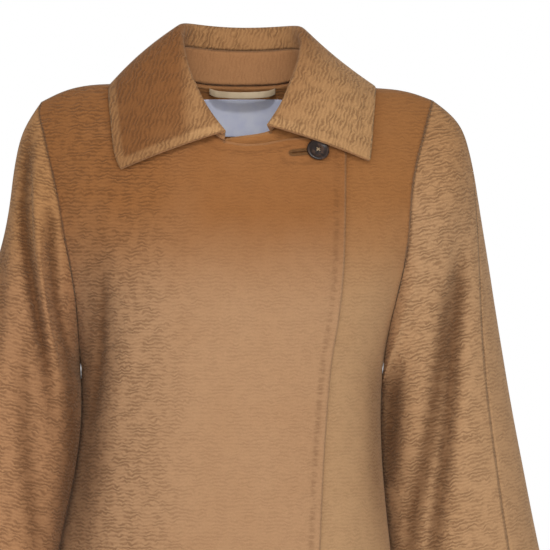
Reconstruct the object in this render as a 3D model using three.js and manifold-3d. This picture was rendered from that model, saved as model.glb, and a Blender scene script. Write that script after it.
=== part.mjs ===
// A camel wrap coat in its worn form: hollow, buttoned once at the neck, with a wide
// pointed shirt collar on a stand and two-piece set-in sleeves. Millimetres, +Z up.
// The front faces -Y, +X is the wearer's left. The origin is between the two points
// where the shoulder seams meet the neck, at the height of those points.
import * as THREE from 'three';
import { mergeVertices } from 'three/addons/utils/BufferGeometryUtils.js';
import Module from 'manifold-3d';

// ---- driving dimensions -------------------------------------------------------------

const CLOTH = 2.6; // wall of the coat's double-faced wool
const COLLAR_CLOTH = 2.1; // wall of each collar layer
const SEAM_GAP = 0.3; // between two pieces at a seam
const OVERLAP_LIFT = 3.7; // outer face of the under front to outer face of the upper front
const HEM_Z = -1075;
const UNDERARM_Z = -330;
const UNDERARM_EASE = 0.6; // from the body's underarm point out to the sleeve's
const AXIS_Y = 5; // the shoulder line and the side seams lie in this plane
const NECK_HALF = 72; // from the centre to the point where the shoulder seam meets the neck
const BOXINESS = 0.05; // how much fuller than an ellipse a body section is

const ARMHOLE_FRONT_ROWS = 16;
const ARMHOLE_BACK_ROWS = 12;
const SKIRT_ROWS = 12;
const NECK_FRONT_COLUMNS = 9; // from the collar's end to the shoulder seam
const NECK_BACK_COLUMNS = 10; // across the back of the neck

const BUTTON_RADIUS = 12.5;
const BUTTON_THICKNESS = 4.4;
const SHANK_RADIUS = 1.4;
const BUTTON_AT = { x: 82, z: -89 };
const BUTTONHOLE = { length: 34, width: 3.6, left: 52, slant: 9 };

// Width of the body at the sides: x of the armhole seam above the underarm and of the
// side seam below it, for the wearer's right and left.
const SIDES = [
  { z: -31, right: -222, left: 211 },
  { z: -42, right: -226, left: 208 },
  { z: -64, right: -220, left: 202 },
  { z: -90, right: -214.5, left: 195 },
  { z: -113, right: -208, left: 189 },
  { z: -150, right: -200.5, left: 186 },
  { z: -185, right: -195, left: 184 },
  { z: -218, right: -188, left: 178 },
  { z: -250, right: -183, left: 170 },
  { z: -300, right: -180, left: 159 },
  { z: -340, right: -178, left: 154.5 },
  { z: -382, right: -179, left: 152.5 },
  { z: -422, right: -184, left: 154 },
  { z: -473, right: -194, left: 158 },
  { z: -526, right: -205, left: 164 },
  { z: -650, right: -224, left: 180 },
  { z: -850, right: -243, left: 209 },
  { z: -1075, right: -264, left: 236 },
];

// How far round the section, from the centre front or back, the armhole lies.
const ARMHOLE_TURN = [
  { z: -31, front: 62, back: 62 },
  { z: -60, front: 55, back: 57 },
  { z: -100, front: 52, back: 55 },
  { z: -150, front: 54, back: 57 },
  { z: -200, front: 60, back: 62 },
  { z: -250, front: 68, back: 70 },
  { z: -290, front: 77, back: 78 },
  { z: -315, front: 84, back: 84 },
  { z: -330, front: 90, back: 90 },
];

// Depth of the body in front of and behind the shoulder plane. The key is the square
// root of the drop below the shoulder line, which keeps the shoulder's top round.
const DEPTHS = [
  { root: 0, front: 0, back: 0 },
  { root: 2, front: 16, back: 18 },
  { root: 3.16, front: 25, back: 31 },
  { root: 4.47, front: 36, back: 45 },
  { root: 7.07, front: 60, back: 66 },
  { root: 10, front: 89, back: 84 },
  { root: 12.25, front: 110, back: 92 },
  { root: 14.14, front: 122, back: 96 },
  { root: 15.8, front: 126, back: 98 },
  { root: 18.7, front: 122, back: 94 },
  { root: 21.2, front: 117, back: 94 },
  { root: 23.5, front: 119, back: 103 },
  { root: 28.3, front: 134, back: 126 },
  { root: 33.2, front: 152, back: 150 },
];

// The shoulder line, from the wearer's right to the left. The right shoulder is worn higher.
const SHOULDER = [
  { x: -230, z: -38 },
  { x: -217, z: -28 },
  { x: -205, z: -22 },
  { x: -190, z: -17 },
  { x: -175, z: -13.5 },
  { x: -160, z: -12 },
  { x: -145, z: -12 },
  { x: -130, z: -11.5 },
  { x: -100, z: -6.5 },
  { x: -72, z: 0 },
  { x: 0, z: 2 },
  { x: 72, z: 0 },
  { x: 100, z: -8 },
  { x: 130, z: -15 },
  { x: 145, z: -16.5 },
  { x: 160, z: -16.8 },
  { x: 175, z: -18.5 },
  { x: 190, z: -22 },
  { x: 205, z: -27.5 },
  { x: 217, z: -33.5 },
  { x: 230, z: -43 },
];

// Necklines of the two fronts, from the front edge's top corner to the shoulder seam.
const RIGHT_COLLAR_END = -19;
const RIGHT_NECKLINE = [
  { x: 114, z: -76 },
  { x: 80, z: -74 },
  { x: 52, z: -75 },
  { x: 20, z: -81 },
  { x: -4, z: -80.5 },
  { x: RIGHT_COLLAR_END, z: -77 },
  { x: -34, z: -67 },
  { x: -48, z: -50 },
  { x: -60, z: -30 },
  { x: -67.5, z: -14 },
  { x: -71, z: -4.5 },
  { x: -NECK_HALF, z: 0 },
];
const LEFT_COLLAR_END = 31;
const LEFT_NECKLINE = [
  { x: -95, z: -90 },
  { x: -60, z: -85 },
  { x: -30, z: -76 },
  { x: -12, z: -70.5 },
  { x: 5, z: -69.5 },
  { x: LEFT_COLLAR_END, z: -66 },
  { x: 43, z: -55 },
  { x: 54, z: -39 },
  { x: 62, z: -24.5 },
  { x: 68, z: -13 },
  { x: 71, z: -4.5 },
  { x: NECK_HALF, z: 0 },
];
const BACK_NECKLINE = [
  { x: -NECK_HALF, z: 0 },
  { x: -60, z: -9 },
  { x: -40, z: -12.5 },
  { x: 0, z: -14 },
  { x: 40, z: -12.5 },
  { x: 60, z: -9 },
  { x: NECK_HALF, z: 0 },
];

// Front edge of the upper front and of the under front, from the neck to the hem.
const FRONT_EDGES = [
  { z: -70, upper: 114, under: -95 },
  { z: -194, upper: 112, under: -98 },
  { z: -258, upper: 107, under: -98 },
  { z: -320, upper: 97, under: -97 },
  { z: -420, upper: 89, under: -95 },
  { z: -517, upper: 85, under: -93 },
  { z: -1075, upper: 62, under: -84 },
];

// Sleeve sections from the seam down: the outer and inner points of each slanted ring,
// its half depth, and how far the overarm seam is turned from the outer point towards
// the front, in degrees.
const RIGHT_SLEEVE = [
  { outer: [-243, 4, -64], inner: [-178.1, -3, -341], half: 74, turn: 0 },
  { outer: [-252.5, -1, -108], inner: [-177.2, -14, -347], half: 75, turn: 0 },
  { outer: [-258, -6, -154], inner: [-177.2, -19, -353], half: 74, turn: 0 },
  { outer: [-268.5, -12, -202], inner: [-177, -23, -361], half: 71, turn: 0 },
  { outer: [-287.5, -20, -254], inner: [-177, -27, -370], half: 68, turn: 0 },
  { outer: [-305, -28, -314], inner: [-177.2, -31, -381], half: 66, turn: 0 },
  { outer: [-321, -34, -372], inner: [-178.8, -34, -402], half: 66, turn: 0 },
  { outer: [-334, -37, -425], inner: [-184.5, -37, -444], half: 67, turn: 0 },
  { outer: [-352, -39, -482], inner: [-195.5, -39, -494], half: 68, turn: 0 },
  { outer: [-372, -41, -540], inner: [-206, -41, -548], half: 70, turn: 0 },
  { outer: [-392, -43, -598], inner: [-217.5, -43, -608], half: 72, turn: 0 },
];
const LEFT_SLEEVE = [
  { outer: [242, 6, -56], inner: [154.4, 14, -341], half: 74, turn: 6 },
  { outer: [256, 11, -102], inner: [153.6, 24, -347], half: 76, turn: 14 },
  { outer: [264, 16, -150], inner: [153.8, 28, -353], half: 76, turn: 24 },
  { outer: [272.5, 21, -200], inner: [153, 31, -361], half: 74, turn: 34 },
  { outer: [280.5, 26, -251], inner: [152.6, 33, -370], half: 71, turn: 42 },
  { outer: [291, 31, -315], inner: [152.2, 34, -381], half: 69, turn: 48 },
  { outer: [301.5, 35, -376], inner: [152.2, 35, -402], half: 69, turn: 51 },
  { outer: [312.5, 37, -432], inner: [153.8, 37, -444], half: 70, turn: 53 },
  { outer: [324.5, 38, -494], inner: [159.5, 38, -498], half: 72, turn: 55 },
  { outer: [336, 39, -548], inner: [165.2, 39, -552], half: 74, turn: 56 },
  { outer: [348, 40, -601], inner: [173, 40, -608], half: 76, turn: 56 },
];

// Folds that run down the cloth: rows give the line of each trough, with its depth.
const SLEEVE_FOLDS = [
  {
    side: -1, width: 10, rows: [
      { z: -56, x: -233, depth: 2 }, { z: -92, x: -237, depth: 9 },
      { z: -139, x: -240, depth: 11 }, { z: -182, x: -239, depth: 12 },
      { z: -241, x: -229.5, depth: 12 }, { z: -300, x: -218.5, depth: 11 },
      { z: -340, x: -212, depth: 7 }, { z: -400, x: -204, depth: 4 },
      { z: -470, x: -200, depth: 0 },
    ],
  },
  {
    side: -1, width: 9, rows: [
      { z: -145, x: -211, depth: 0 }, { z: -175, x: -209.5, depth: 7 },
      { z: -223, x: -208, depth: 9 }, { z: -283, x: -199, depth: 9 },
      { z: -330, x: -189, depth: 6 }, { z: -352, x: -185, depth: 0 },
    ],
  },
  {
    side: 1, width: 10, rows: [
      { z: -170, x: 243, depth: 0 }, { z: -201, x: 241, depth: 5 },
      { z: -273, x: 237, depth: 8 }, { z: -356, x: 230, depth: 9 },
      { z: -428, x: 223, depth: 9 }, { z: -508, x: 212, depth: 8 },
      { z: -600, x: 203, depth: 5 },
    ],
  },
];
const BODY_FOLDS = [
  {
    side: -1, width: 10, rows: [
      { z: -215, x: -151, depth: 0 }, { z: -250, x: -151, depth: 5 },
      { z: -307, x: -154, depth: 8 }, { z: -346, x: -159, depth: 7 },
      { z: -390, x: -167, depth: 3 }, { z: -420, x: -171, depth: 0 },
    ],
  },
  {
    side: -1, width: 12, rows: [
      { z: -440, x: -181, depth: 0 }, { z: -500, x: -181, depth: 5 },
      { z: -640, x: -190, depth: 8 }, { z: -860, x: -200, depth: 11 },
      { z: -1075, x: -212, depth: 13 },
    ],
  },
  {
    side: 1, width: 14, rows: [
      { z: -520, x: 140, depth: 0 }, { z: -640, x: 148, depth: 6 },
      { z: -860, x: 158, depth: 10 }, { z: -1075, x: 168, depth: 12 },
    ],
  },
];
const BACK_FOLDS = [-110, 5, 115].map((x) => ({
  side: Math.sign(x), width: 22, rows: [
    { z: -430, x: x * 0.85, depth: 0 }, { z: -620, x: x * 0.95, depth: 7 },
    { z: -1075, x: x * 1.3, depth: 15 },
  ],
}));

// The collar, from the centre back to one front end: the crest of the roll, and the
// free outer edge given by its place in the front view and how far it stands off. The
// leaf between them bulges by LEAF_BULGE, less what a station says it sags.
const RIGHT_COLLAR = [
  { x: 0, y: 52, z: 52, edgeX: 0, edgeZ: -30, lift: 9, back: 1 },
  { x: -38, y: 46, z: 54, edgeX: -62, edgeZ: -31, lift: 9, back: 1 },
  { x: -60, y: 29, z: 56.5, edgeX: -116, edgeZ: -25, lift: 8, back: 1 },
  { x: -70, y: 6, z: 54.5, edgeX: -144, edgeZ: -12, lift: 6.8, back: 1 },
  { x: -70.5, y: -16, z: 39, edgeX: -147, edgeZ: -32, lift: 8, back: 0 },
  { x: -66, y: -35, z: 16, edgeX: -144, edgeZ: -56, lift: 8, back: 0 },
  { x: -57, y: -53, z: -8, edgeX: -141.5, edgeZ: -77, lift: 8, back: 0 },
  { x: -45, y: -70, z: -34, edgeX: -138, edgeZ: -97, lift: 8, back: 0 },
  { x: -24, y: -87, z: -66, edgeX: -132, edgeZ: -109.5, lift: 9, back: 0 },
];
const LEFT_COLLAR = [
  { x: 0, y: 52, z: 52, edgeX: 0, edgeZ: -30, lift: 9, back: 1 },
  { x: 38, y: 46, z: 53, edgeX: 62, edgeZ: -31, lift: 9, back: 1 },
  { x: 60, y: 29, z: 54, edgeX: 116, edgeZ: -27, lift: 8, back: 1, sag: 2 },
  { x: 67, y: 6, z: 50, edgeX: 146, edgeZ: -16.5, lift: 7.8, back: 1, sag: 7 },
  { x: 70, y: -16, z: 35, edgeX: 146, edgeZ: -34, lift: 10, back: 0, sag: 4 },
  { x: 67, y: -34, z: 18, edgeX: 144, edgeZ: -52, lift: 11, back: 0 },
  { x: 59, y: -52, z: -6, edgeX: 142, edgeZ: -71, lift: 12, back: 0 },
  { x: 50, y: -69, z: -32, edgeX: 139.5, edgeZ: -92, lift: 13, back: 0 },
  { x: 34, y: -86, z: -59, edgeX: 137.5, edgeZ: -102, lift: 14, back: 0 },
];
const FRONT_STATIONS = 4.6; // how many stations from each end the shoulder seam lies
const ROLL_RADIUS = 6.5;
const LEAF_BULGE = 4;
const ROLL_STEPS = 5;
const LEAF_STEPS = 5;
const STAND_SHARE = 0.66; // of the way from the neck seam to the roll
const STAND_SEAT = 0.9; // from the body's edge up to the stand's neck side
const HEEL_RISE = 1.8; // and how much higher its outer side starts

// ---- small tools --------------------------------------------------------------------

const radians = THREE.MathUtils.degToRad;
const lerp = THREE.MathUtils.lerp;
const V = (x, y, z) => new THREE.Vector3(x, y, z);

/** Monotone cubic through one column of a table, held level past its ends. */
function column(table, key, value) {
  const rows = [...table].sort((a, b) => a[key] - b[key]);
  const x = rows.map((r) => r[key]);
  const y = rows.map((r) => r[value]);
  const last = x.length - 1;
  const slope = x.slice(1).map((right, i) => (y[i + 1] - y[i]) / (right - x[i]));
  const tangent = x.map((_, i) => {
    if (i === 0) return slope[0];
    if (i === last) return slope[last - 1];
    if (slope[i - 1] * slope[i] <= 0) return 0;
    return (2 * slope[i - 1] * slope[i]) / (slope[i - 1] + slope[i]);
  });
  return (at) => {
    if (at <= x[0]) return y[0];
    if (at >= x[last]) return y[last];
    const i = x.findIndex((right) => right > at) - 1;
    const h = x[i + 1] - x[i];
    const t = (at - x[i]) / h;
    return (1 + 2 * t) * (1 - t) ** 2 * y[i] + t * (1 - t) ** 2 * h * tangent[i]
      + t * t * (3 - 2 * t) * y[i + 1] + t * t * (t - 1) * h * tangent[i + 1];
  };
}

const steps = (count) => Array.from({ length: count + 1 }, (_, i) => i / count);
const easeBoth = (t) => (1 - Math.cos(Math.PI * t)) / 2;
const smooth = (t) => THREE.MathUtils.smoothstep(t, 0, 1);

// ---- the body's surface -------------------------------------------------------------

const sideRight = column(SIDES, 'z', 'right');
const sideLeft = column(SIDES, 'z', 'left');
const turnFront = column(ARMHOLE_TURN, 'z', 'front');
const turnBack = column(ARMHOLE_TURN, 'z', 'back');
const depthFront = column(DEPTHS, 'root', 'front');
const depthBack = column(DEPTHS, 'root', 'back');
const shoulder = column(SHOULDER, 'x', 'z');

const middleX = (z) => (sideRight(z) + sideLeft(z)) / 2;
const fullness = (phi) => 1 + BOXINESS * Math.sin(2 * phi) ** 2;

/** Half width of the whole ellipse whose front or back part makes the section at z. */
function sectionHalf(z, turnAt) {
  const end = radians(turnAt(z));
  return (sideLeft(z) - sideRight(z)) / 2 / (Math.sin(end) * fullness(end));
}

/** Angle from the centre at which a section reaches x; negative on the wearer's right. */
function angleAt(x, z, turnAt) {
  const share = (x - middleX(z)) / sectionHalf(z, turnAt);
  let low = -Math.PI / 2;
  let high = Math.PI / 2;
  for (let i = 0; i < 40; i += 1) {
    const mid = (low + high) / 2;
    if (Math.sin(mid) * fullness(mid) < share) low = mid;
    else high = mid;
  }
  return (low + high) / 2;
}

/** Point of the body's outer face at angle phi and height z; front is -1, back is 1. */
function bodyPoint(phi, z, facing) {
  const turnAt = facing < 0 ? turnFront : turnBack;
  const depthAt = facing < 0 ? depthFront : depthBack;
  const x = middleX(z) + sectionHalf(z, turnAt) * Math.sin(phi) * fullness(phi);
  const drop = Math.max(0, shoulder(x) - z);
  const y = AXIS_Y + facing * depthAt(Math.sqrt(drop)) * Math.cos(phi) * fullness(phi);
  return V(x, y, z);
}

function bodyAt(x, z, facing) {
  return bodyPoint(angleAt(x, z, facing < 0 ? turnFront : turnBack), z, facing);
}

/** Outward normal of the body's surface, from its neighbours in the front view. */
function bodyNormal(x, z, facing) {
  const reach = 2;
  const across = bodyAt(x + reach, z, facing).sub(bodyAt(x - reach, z, facing));
  const up = bodyAt(x, z + reach, facing).sub(bodyAt(x, z - reach, facing));
  return across.cross(up).multiplyScalar(-facing).normalize();
}

// ---- grids of points and the walls made from them -----------------------------------

/** Normals of a grid of points, from central differences; sign turns them outwards. */
function gridNormals(grid, sign) {
  const rows = grid.length - 1;
  const columns = grid[0].length - 1;
  return grid.map((row, i) => row.map((_, j) => {
    const across = row[Math.min(j + 1, columns)].clone().sub(row[Math.max(j - 1, 0)]);
    const down = grid[Math.min(i + 1, rows)][j].clone().sub(grid[Math.max(i - 1, 0)][j]);
    return across.cross(down).multiplyScalar(sign).normalize();
  }));
}

/** Moves each point of a grid along its normal by what amount(point) says. */
function displaced(grid, sign, amount) {
  const normals = gridNormals(grid, sign);
  return grid.map((row, i) => row.map((point, j) => (
    point.clone().addScaledVector(normals[i][j], amount(point, i, j)))));
}

/** How far the folds sink a point of the cloth, a share of their full depth. */
function foldDepth(folds, point, share) {
  return folds.reduce((sum, fold) => {
    const line = fold.line ??= column(fold.rows, 'z', 'x');
    const depth = fold.depth ??= column(fold.rows, 'z', 'depth');
    const away = (point.x - line(point.z)) / fold.width;
    return sum - depth(point.z) * Math.exp(-away * away) * share;
  }, 0);
}

const key = (p) => `${Math.round(p.x * 50)},${Math.round(p.y * 50)},${Math.round(p.z * 50)}`;

/** Gives points that several grids share one common normal, so that seams are parallel. */
function weldNormals(patches) {
  const shared = new Map();
  const edge = (patch, visit) => patch.points.forEach((row, i) => row.forEach((p, j) => {
    const onEdge = i === 0 || j === 0 || i === patch.points.length - 1 || j === row.length - 1;
    if (onEdge) visit(p, patch.normals[i][j]);
  }));
  patches.forEach((patch) => edge(patch, (p, n) => {
    shared.set(key(p), (shared.get(key(p)) ?? V(0, 0, 0)).add(n));
  }));
  patches.forEach((patch) => edge(patch, (p, n) => n.copy(shared.get(key(p))).normalize()));
}

/** Draws the edges of a patch that lie on seams back by half the seam's gap. */
function insetSeams(patch) {
  const { points, normals, seams } = patch;
  const rows = points.length - 1;
  const columns = points[0].length - 1;
  const moved = points.map((row) => row.map((p) => p.clone()));
  const pull = (i, j, inward) => {
    const n = normals[i][j];
    const step = inward.clone().addScaledVector(n, -inward.dot(n)).normalize();
    moved[i][j].addScaledVector(step, SEAM_GAP / 2);
  };
  for (let i = 0; i <= rows; i += 1) {
    if (seams.first) pull(i, 0, points[i][1].clone().sub(points[i][0]));
    if (seams.last) pull(i, columns, points[i][columns - 1].clone().sub(points[i][columns]));
  }
  for (let j = 0; j <= columns; j += 1) {
    if (seams.top(j)) pull(0, j, points[1][j].clone().sub(points[0][j]));
  }
  return moved;
}

/** Closed wall between a grid of outer points and the same grid moved inwards. */
function wallGeometry(outer, inner) {
  const rows = outer.length;
  const columns = outer[0].length;
  const positions = [...outer, ...inner].flatMap((row) => row.flatMap((p) => p.toArray()));
  const at = (layer, i, j) => layer * rows * columns + i * columns + j;
  const index = [];
  const quad = (a, b, c, d) => index.push(a, b, c, a, c, d);
  for (let i = 0; i < rows - 1; i += 1) {
    for (let j = 0; j < columns - 1; j += 1) {
      quad(at(0, i, j), at(0, i, j + 1), at(0, i + 1, j + 1), at(0, i + 1, j));
      quad(at(1, i, j), at(1, i + 1, j), at(1, i + 1, j + 1), at(1, i, j + 1));
    }
  }
  for (let i = 0; i < rows - 1; i += 1) {
    quad(at(0, i, 0), at(0, i + 1, 0), at(1, i + 1, 0), at(1, i, 0));
    const j = columns - 1;
    quad(at(0, i, j), at(1, i, j), at(1, i + 1, j), at(0, i + 1, j));
  }
  for (let j = 0; j < columns - 1; j += 1) {
    quad(at(0, 0, j), at(1, 0, j), at(1, 0, j + 1), at(0, 0, j + 1));
    const i = rows - 1;
    quad(at(0, i, j), at(0, i, j + 1), at(1, i, j + 1), at(1, i, j));
  }
  const geometry = new THREE.BufferGeometry();
  geometry.setAttribute('position', new THREE.Float32BufferAttribute(positions, 3));
  geometry.setIndex(index);
  return facingOut(geometry);
}

/** Turns every face round if the closed surface encloses a negative volume. */
function facingOut(geometry) {
  const p = geometry.getAttribute('position');
  const index = geometry.getIndex().array;
  const [a, b, c] = [V(0, 0, 0), V(0, 0, 0), V(0, 0, 0)];
  let volume = 0;
  for (let i = 0; i < index.length; i += 3) {
    a.fromBufferAttribute(p, index[i]);
    b.fromBufferAttribute(p, index[i + 1]);
    c.fromBufferAttribute(p, index[i + 2]);
    volume += a.dot(b.cross(c));
  }
  if (volume < 0) {
    geometry.setIndex(Array.from(index).reverse());
  }
  geometry.computeVertexNormals();
  return geometry;
}

const NO_SEAMS = { first: false, last: false, top: () => false };

function makePatch(name, points, sign, seams, thickness = CLOTH) {
  return { name, points, normals: gridNormals(points, sign), seams: { ...NO_SEAMS, ...seams }, thickness };
}

function patchGeometry(patch, nearFace = 0) {
  const outer = insetSeams(patch);
  const moved = (by) => outer.map((row, i) => row.map((p, j) => (
    p.clone().addScaledVector(patch.normals[i][j], -by))));
  return wallGeometry(moved(nearFace), moved(nearFace + patch.thickness));
}

// ---- body panels --------------------------------------------------------------------

/** Heights of a panel's rows under a column top: down the armhole, then down the skirt. */
function rowHeights(top, armholeRows) {
  return [
    ...steps(armholeRows).map((t) => lerp(top, UNDERARM_Z, easeBoth(t))),
    ...steps(SKIRT_ROWS).slice(1).map((t) => lerp(UNDERARM_Z, HEM_Z, t ** 1.2)),
  ];
}

/**
 * Grid of one front or of the back. tops are the columns' upper ends, (x, z); edge gives
 * the angle of the first column at a height, and the last column follows the side.
 */
function panelGrid(tops, facing, armholeRows, firstAngle, lastAngle) {
  const turnAt = facing < 0 ? turnFront : turnBack;
  const shares = tops.map(({ x, z }) => {
    const [a, b] = [firstAngle(z), lastAngle(z)];
    return (angleAt(x, z, turnAt) - a) / (b - a);
  });
  const columns = tops.map(({ z }) => rowHeights(z, armholeRows));
  const rows = columns[0].length;
  return Array.from({ length: rows }, (_, i) => tops.map((top, j) => {
    const z = columns[j][i];
    const even = j / (tops.length - 1);
    const share = lerp(shares[j], even, smooth(Math.min(1, i / armholeRows)));
    return bodyPoint(lerp(firstAngle(z), lastAngle(z), share), z, facing);
  }));
}

/** Upper ends of columns along a neckline from x to x, evenly by length. */
function alongNeckline(table, from, to, count) {
  const rows = table.filter(({ x }) => x >= Math.min(from, to) && x <= Math.max(from, to));
  const curve = new THREE.CatmullRomCurve3(rows.map(({ x, z }) => V(x, 0, z)), false, 'centripetal');
  const points = curve.getSpacedPoints(count);
  if (Math.sign(points[count].x - points[0].x) !== Math.sign(to - from)) points.reverse();
  return points.map((p) => ({ x: p.x, z: p.z }));
}

/** Upper ends of columns along the shoulder seam, from the neck to the sleeve. */
function alongShoulder(side, count) {
  const end = shoulderTip(side);
  return steps(count).map((t) => {
    const x = lerp(side * NECK_HALF, end.x, t);
    return { x, z: shoulder(x) };
  });
}

/** Where the shoulder seam meets the armhole. */
function shoulderTip(side) {
  const edge = side < 0 ? sideRight : sideLeft;
  let z = -30;
  for (let i = 0; i < 60; i += 1) z = (z + shoulder(edge(z))) / 2;
  return { x: edge(z), z };
}

const sideAngle = (side, turnAt) => (z) => side * radians(turnAt(z));
const edgeX = { upper: column(FRONT_EDGES, 'z', 'upper'), under: column(FRONT_EDGES, 'z', 'under') };
const FLAT_COLUMNS = 6; // along the lapped neckline, beyond the collar's end
const SHOULDER_COLUMNS = 7;

/** Lift of a front where the two lap: the upper one rises, the under one sinks. */
function lapLift(point, side) {
  const share = smooth((point.x + 60) / 120);
  return side < 0 ? OVERLAP_LIFT * share : -OVERLAP_LIFT * (1 - share);
}

function frontPoints(side) {
  const [table, end, edge] = side < 0
    ? [RIGHT_NECKLINE, RIGHT_COLLAR_END, edgeX.upper]
    : [LEFT_NECKLINE, LEFT_COLLAR_END, edgeX.under];
  const tops = [
    ...alongNeckline(table, table[0].x, end, FLAT_COLUMNS),
    ...alongNeckline(table, end, side * NECK_HALF, NECK_FRONT_COLUMNS).slice(1),
    ...alongShoulder(side, SHOULDER_COLUMNS).slice(1),
  ];
  const first = (z) => angleAt(edge(z), z, turnFront);
  const grid = panelGrid(tops, -1, ARMHOLE_FRONT_ROWS, first, sideAngle(side, turnFront));
  const folds = BODY_FOLDS.filter((fold) => fold.side === side);
  const last = tops.length - 1;
  return displaced(grid, -side, (p, i, j) => (
    lapLift(p, side) + foldDepth(folds, p, j === last ? 0 : 1)));
}

function backPoints() {
  const tops = [
    ...alongShoulder(-1, SHOULDER_COLUMNS).reverse(),
    ...alongNeckline(BACK_NECKLINE, -NECK_HALF, NECK_HALF, NECK_BACK_COLUMNS).slice(1),
    ...alongShoulder(1, SHOULDER_COLUMNS).slice(1),
  ];
  const grid = panelGrid(tops, 1, ARMHOLE_BACK_ROWS, sideAngle(-1, turnBack), sideAngle(1, turnBack));
  const last = tops.length - 1;
  return displaced(grid, 1, (p, i, j) => (
    foldDepth(BACK_FOLDS, p, j === 0 || j === last ? 0 : 1)));
}

// ---- sleeves ------------------------------------------------------------------------

/** One half of a sleeve: columns run from the overarm seam to the underarm seam. */
function sleevePoints(side, facing, armhole) {
  const table = side < 0 ? RIGHT_SLEEVE : LEFT_SLEEVE;
  const count = armhole.length - 1;
  const folds = SLEEVE_FOLDS.filter((fold) => fold.side === side);
  const rings = table.map((ring) => {
    const outer = V(...ring.outer);
    const inner = V(...ring.inner);
    const middle = outer.clone().lerp(inner, 0.5);
    const axis = outer.clone().sub(inner).multiplyScalar(0.5);
    const start = radians(ring.turn);
    return steps(count).map((t) => {
      const psi = facing < 0 ? lerp(start, Math.PI, t) : lerp(start, -Math.PI, t);
      return middle.clone().addScaledVector(axis, Math.cos(psi)).add(V(0, -ring.half * Math.sin(psi), 0));
    });
  });
  const grid = Array.from({ length: table.length * 2 - 1 }, () => []);
  for (let j = 0; j <= count; j += 1) {
    const stops = [armhole[j], ...rings.map((ring) => ring[j])];
    const line = new THREE.CatmullRomCurve3(stops, false, 'centripetal');
    for (let i = 0; i < grid.length; i += 1) {
      grid[i][j] = i === 0 ? armhole[j].clone() : line.getPoint(i / (grid.length - 1));
    }
  }
  grid[0][count].x += side * UNDERARM_EASE;
  if (facing > 0) return grid;
  return displaced(grid, side, (p, i, j) => {
    const clear = i === 0 || j === 0 || j === count ? 0 : Math.min(1, j / 2, (count - j) / 2);
    return foldDepth(folds, p, clear);
  });
}

// ---- collar and stand ---------------------------------------------------------------

/**
 * The neck seam's points from the right front round the back to the left front, each with
 * the body's outward normal there and the direction away from the neck along the cloth.
 */
function neckSeam(right, back, left) {
  const part = (grid, sign, from, count) => {
    const normals = gridNormals(grid, sign);
    return grid[0].slice(from, from + count + 1).map((point, j) => ({ point, out: normals[0][from + j] }));
  };
  const rightPart = part(right, 1, FLAT_COLUMNS, NECK_FRONT_COLUMNS);
  const backPart = part(back, 1, SHOULDER_COLUMNS, NECK_BACK_COLUMNS);
  const leftPart = part(left, -1, FLAT_COLUMNS, NECK_FRONT_COLUMNS).reverse();
  const joined = (a, b) => ({ point: a.point, out: a.out.clone().add(b.out).normalize() });
  const seam = [
    ...rightPart.slice(0, -1),
    joined(rightPart.at(-1), backPart[0]),
    ...backPart.slice(1, -1),
    joined(backPart.at(-1), leftPart[0]),
    ...leftPart.slice(1),
  ];
  const middle = V(0, -15, 0);
  return seam.map((each, j) => {
    const along = seam[Math.min(j + 1, seam.length - 1)].point.clone().sub(seam[Math.max(j - 1, 0)].point);
    const away = along.cross(each.out).normalize();
    const outwards = each.point.clone().sub(middle).setZ(0);
    return { ...each, away: away.dot(outwards) < 0 ? away.negate() : away };
  });
}

/** Crest of the roll and free edge of the collar at each column of the neck seam. */
function collarLines(count) {
  const stations = [...LEFT_COLLAR.slice(1).reverse(), ...RIGHT_COLLAR].reverse();
  const crest = stations.map((s) => V(s.x, s.y, s.z));
  const edge = stations.map((s) => {
    const facing = s.back ? 1 : -1;
    return bodyAt(s.edgeX, s.edgeZ, facing)
      .addScaledVector(bodyNormal(s.edgeX, s.edgeZ, facing), s.lift);
  });
  const front = NECK_FRONT_COLUMNS;
  const frontShare = FRONT_STATIONS / (stations.length - 1);
  const shareOf = (j) => {
    if (j <= front) return (j / front) * frontShare;
    if (j >= count - front) return 1 - ((count - j) / front) * frontShare;
    return lerp(frontShare, 1 - frontShare, (j - front) / (count - 2 * front));
  };
  const crestLine = new THREE.CatmullRomCurve3(crest, false, 'centripetal');
  const edgeLine = new THREE.CatmullRomCurve3(edge, false, 'centripetal');
  const bulge = stations.map((s, i) => V(i, LEAF_BULGE - (s.sag ?? 0), 0));
  const bulgeLine = new THREE.CatmullRomCurve3(bulge, false, 'centripetal');
  return steps(count).map((_, j) => ({
    crest: crestLine.getPoint(shareOf(j)),
    along: crestLine.getTangent(shareOf(j)),
    edge: edgeLine.getPoint(shareOf(j)),
    bulge: bulgeLine.getPoint(shareOf(j)).y,
  }));
}

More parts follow.
